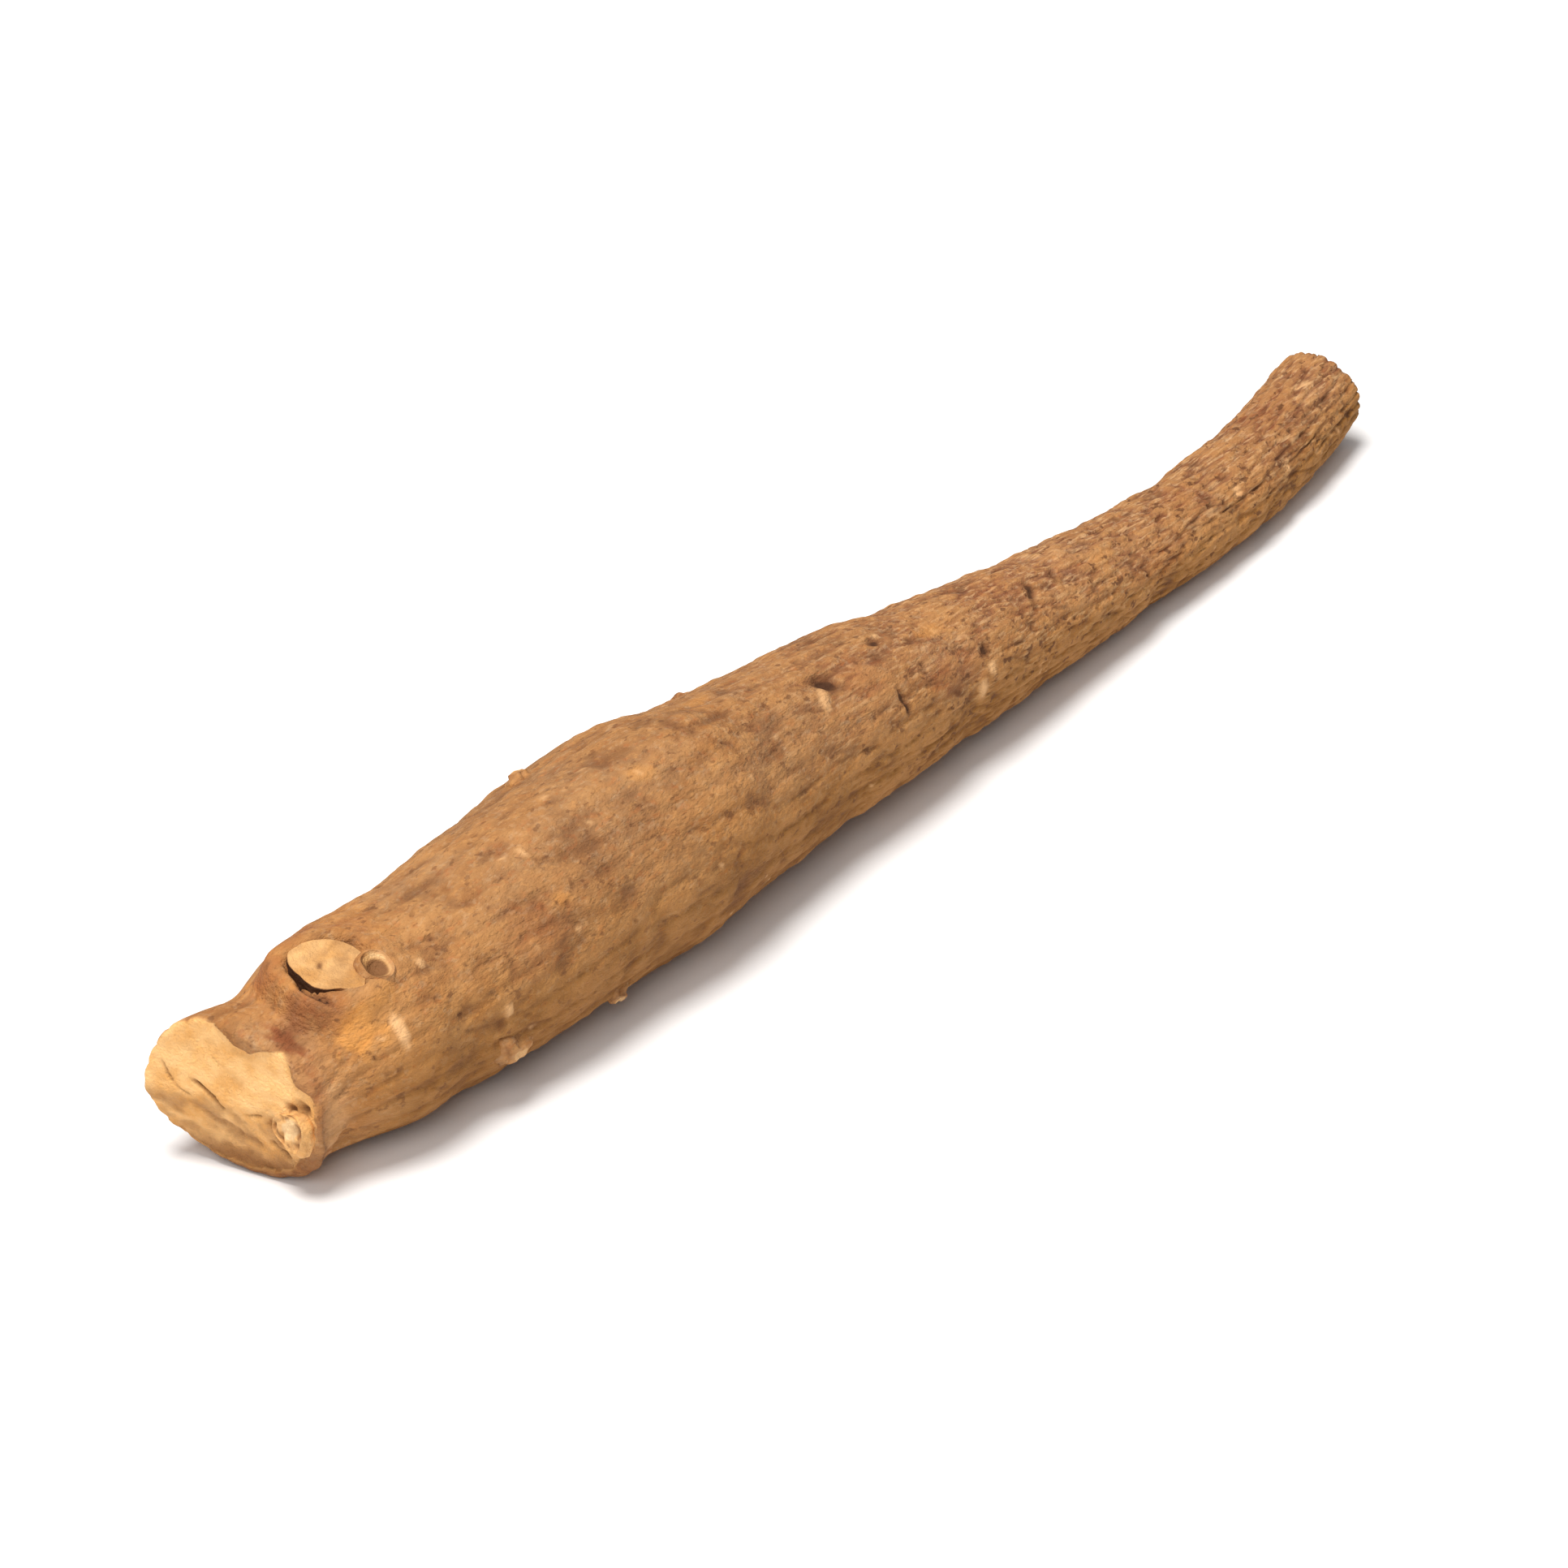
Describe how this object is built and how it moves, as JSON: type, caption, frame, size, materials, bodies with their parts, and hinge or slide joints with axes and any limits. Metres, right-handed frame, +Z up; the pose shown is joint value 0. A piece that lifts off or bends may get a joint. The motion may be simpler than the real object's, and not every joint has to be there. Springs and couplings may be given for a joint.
{
  "type": "dried root",
  "caption": "Dried ashwagandha root cut off at the crown and at the tail, thick and brown-barked, tapering and gently bent, with a side root cut off short near the crown.",
  "frame": {"origin": "middle of the root's bounding box, at the height of the surface it rests on", "axes": "+X along the root from its cut crown to its thin cut tail, +Z up, +Y towards the side its tail bends to"},
  "size_m": [0.1468, 0.0184, 0.0181],
  "materials": {
    "bark": "dull dry bark, pale dry wood on the cut ends"
  },
  "bodies": {
    "root": {"root": "bark"}
  },
  "joints": []
}
